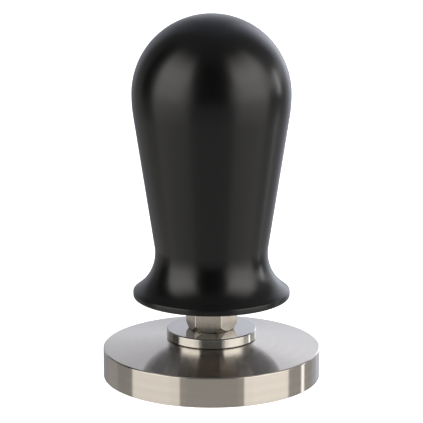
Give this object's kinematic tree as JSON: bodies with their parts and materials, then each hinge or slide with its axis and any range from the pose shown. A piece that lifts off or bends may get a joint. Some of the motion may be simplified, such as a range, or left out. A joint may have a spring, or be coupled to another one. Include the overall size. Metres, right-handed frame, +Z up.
{
  "type": "espresso tamper",
  "caption": "Spring-calibrated espresso tamper: flat steel base, hexagonal stem and a flared, domed black handle that slides down over the stem.",
  "frame": {"origin": "centre of the flat tamping face, the lowest face of the part", "axes": "+Z up along the stem and the handle's axis; two corners of the hexagonal stem point along +X and -X"},
  "size_m": [0.058, 0.058, 0.0974],
  "materials": {
    "base_steel": "fine turned stainless steel",
    "collar_steel": "mirror polished stainless steel",
    "stem_steel": "drawn bright hexagonal bar",
    "inner_steel": "plain machined steel",
    "black_screw": "black oxide",
    "black_acetal": "machined acetal",
    "spring_wire": "oiled spring wire with ground ends",
    "handle_black": "satin black anodised",
    "cover_black": "black anodised, fine turned",
    "white_acetal": "natural acetal",
    "cover_screw": "stainless steel",
    "ring_rubber": "moulded nitrile rubber"
  },
  "bodies": {
    "base": {"tamping_base": "base_steel", "stem_collar": "collar_steel", "hex_stem": "stem_steel", "stop_washer": "inner_steel", "lock_washer": "inner_steel", "stop_screw": "black_screw", "lower_spring_seat": "black_acetal", "spring": "spring_wire"},
    "handle": {"handle_shell": "handle_black", "bottom_cover": "cover_black", "hex_guide_bush": "white_acetal", "cover_screw_1": "cover_screw", "cover_screw_2": "cover_screw", "cover_screw_3": "cover_screw", "bumper_ring": "ring_rubber", "cover_seal": "ring_rubber", "upper_spring_seat": "inner_steel", "calibration_shim_1": "inner_steel", "calibration_shim_2": "inner_steel"}
  },
  "joints": [
    {"name": "handle_press", "type": "slide", "parent": "base", "child": "handle", "axis": [0, 0, -1], "range_m": [0, 0.0087], "stiffness_N_per_m": 7170, "springref_m": -0.0099, "deforming": ["spring"]}
  ]
}
